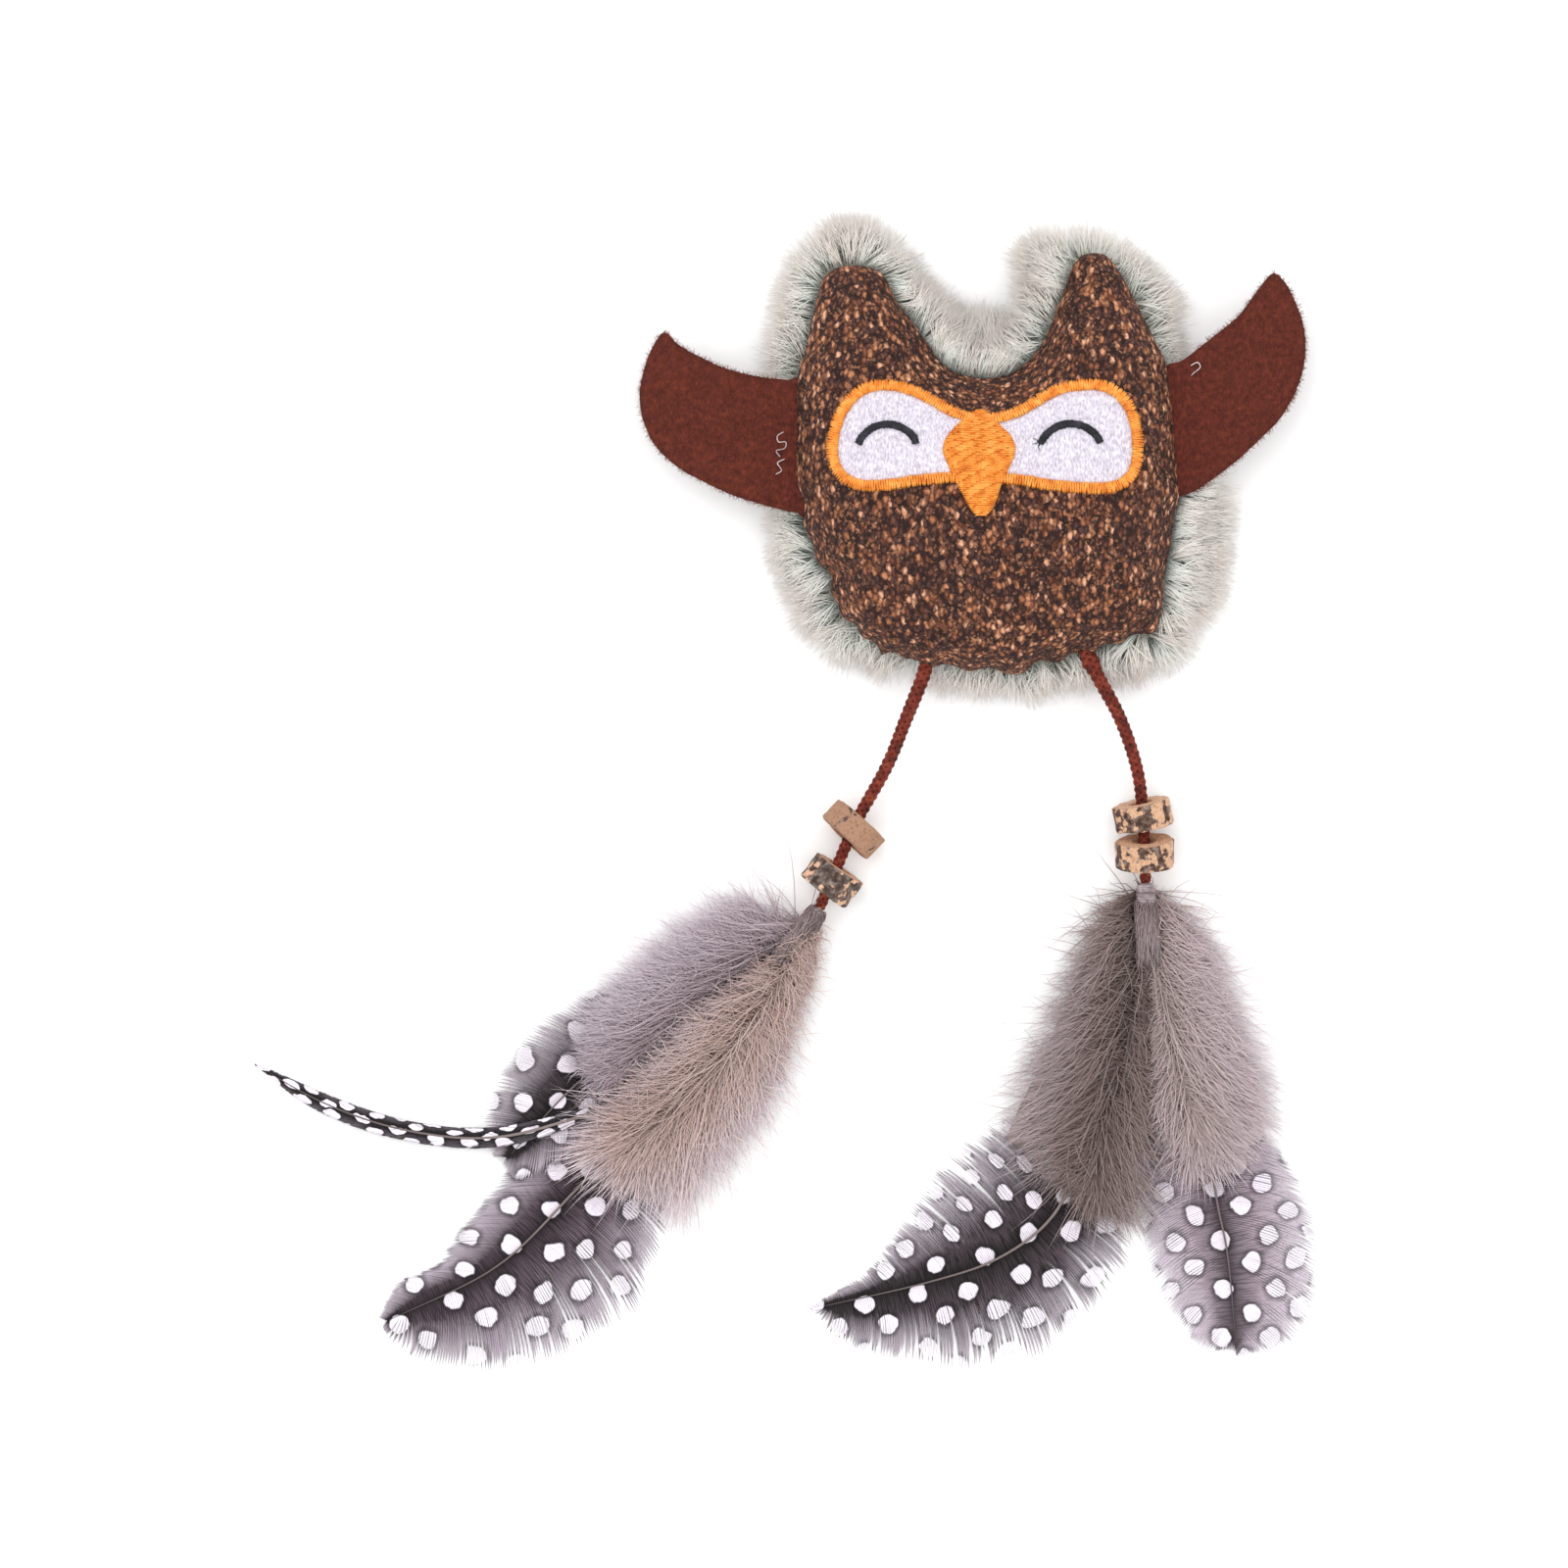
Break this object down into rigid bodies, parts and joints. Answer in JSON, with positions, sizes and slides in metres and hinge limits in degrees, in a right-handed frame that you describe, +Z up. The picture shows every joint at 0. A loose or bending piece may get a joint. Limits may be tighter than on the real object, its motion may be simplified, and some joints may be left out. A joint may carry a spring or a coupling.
{
  "type": "plush owl toy",
  "caption": "Stuffed plush owl that lies on its back, with felt wings that flap and cord legs that carry wooden beads and spotted feather plumes.",
  "frame": {"origin": "middle of the flat face of the pile that the toy lies on", "axes": "+Z up out of the face of the owl, +Y towards its ears, +X towards the wing on the right as the face is seen"},
  "size_m": [0.1795, 0.1947, 0.0242],
  "materials": {
    "printed_cloth": "matte",
    "backing_cloth": "matte",
    "plush_pile": "matte",
    "fibre_fill": "matte",
    "white_felt": "matte",
    "orange_thread": "satin",
    "dark_thread": "satin",
    "brown_felt": "matte",
    "pale_thread": "satin",
    "braided_cord": "satin",
    "branch_wood": "matte",
    "feather_quill": "satin",
    "spotted_vane": "matte",
    "feather_down": "matte"
  },
  "bodies": {
    "torso": {"front_panel": "printed_cloth", "back_panel": "backing_cloth", "back_pile": "plush_pile", "stuffing": "fibre_fill", "eye_patch": "white_felt", "patch_border": "orange_thread", "beak": "orange_thread", "left_eye": "dark_thread", "right_eye": "dark_thread"},
    "left_wing": {"left_wing": "brown_felt", "left_wing_tack": "pale_thread"},
    "right_wing": {"right_wing": "brown_felt", "right_wing_tack": "pale_thread"},
    "left_leg": {"left_cord": "braided_cord"},
    "left_upper_bead": {"left_upper_bead": "branch_wood"},
    "left_lower_bead": {"left_lower_bead": "branch_wood"},
    "left_plume": {"left_tie": "pale_thread", "left_broad_quill": "feather_quill", "left_broad_vane": "spotted_vane", "left_curled_quill": "feather_quill", "left_curled_vane": "spotted_vane", "left_short_quill": "feather_quill", "left_short_vane": "spotted_vane", "left_front_down": "feather_down", "left_back_down": "feather_down"},
    "right_leg": {"right_cord": "braided_cord"},
    "right_upper_bead": {"right_upper_bead": "branch_wood"},
    "right_lower_bead": {"right_lower_bead": "branch_wood"},
    "right_plume": {"right_tie": "pale_thread", "right_dark_quill": "feather_quill", "right_dark_vane": "spotted_vane", "right_pale_quill": "feather_quill", "right_pale_vane": "spotted_vane", "right_dark_down": "feather_down", "right_pale_down": "feather_down"}
  },
  "joints": [
    {"name": "left_wing_flap", "type": "hinge", "parent": "torso", "child": "left_wing", "pos_m": [-0.03427, 0.00333, 0.0096], "axis": [-0.0289, 0.9996, 0], "range_deg": [-5, 75], "stiffness_Nm_per_rad": 0.003},
    {"name": "right_wing_flap", "type": "hinge", "parent": "torso", "child": "right_wing", "pos_m": [0.03395, 0.00522, 0.0096], "axis": [0.1119, -0.9937, 0], "range_deg": [-5, 75], "stiffness_Nm_per_rad": 0.003},
    {"name": "left_leg_lift", "type": "hinge", "parent": "torso", "child": "left_leg", "pos_m": [-0.01073, -0.03567, 0.0099], "axis": [-1, 0, 0], "range_deg": [0, 95]},
    {"name": "left_upper_bead_slide", "type": "slide", "parent": "left_leg", "child": "left_upper_bead", "axis": [-0.398, -0.9172, 0.0173], "range_m": [-0.0015, 0.0025]},
    {"name": "left_lower_bead_spin", "type": "hinge", "parent": "left_leg", "child": "left_lower_bead", "pos_m": [-0.02636, -0.0705, 0.00515], "axis": [-0.5803, -0.8104, -0.08], "continuous": true},
    {"name": "left_plume_swing", "type": "hinge", "parent": "left_leg", "child": "left_plume", "pos_m": [-0.02842, -0.07527, 0.00495], "axis": [0, 0, 1], "range_deg": [-25, 6]},
    {"name": "right_leg_lift", "type": "hinge", "parent": "torso", "child": "right_leg", "pos_m": [0.01749, -0.03326, 0.0099], "axis": [-1, 0, 0], "range_deg": [0, 95]},
    {"name": "right_upper_bead_slide", "type": "slide", "parent": "right_leg", "child": "right_upper_bead", "axis": [0.0651, -0.9978, 0.0108], "range_m": [-0.003, 0.0008]},
    {"name": "right_lower_bead_spin", "type": "hinge", "parent": "right_leg", "child": "right_lower_bead", "pos_m": [0.02691, -0.06597, 0.00545], "axis": [0.0502, -0.964, -0.2611], "continuous": true},
    {"name": "right_plume_swing", "type": "hinge", "parent": "right_leg", "child": "right_plume", "pos_m": [0.02709, -0.07086, 0.0053], "axis": [0, 0, 1], "range_deg": [-6, 25]}
  ]
}
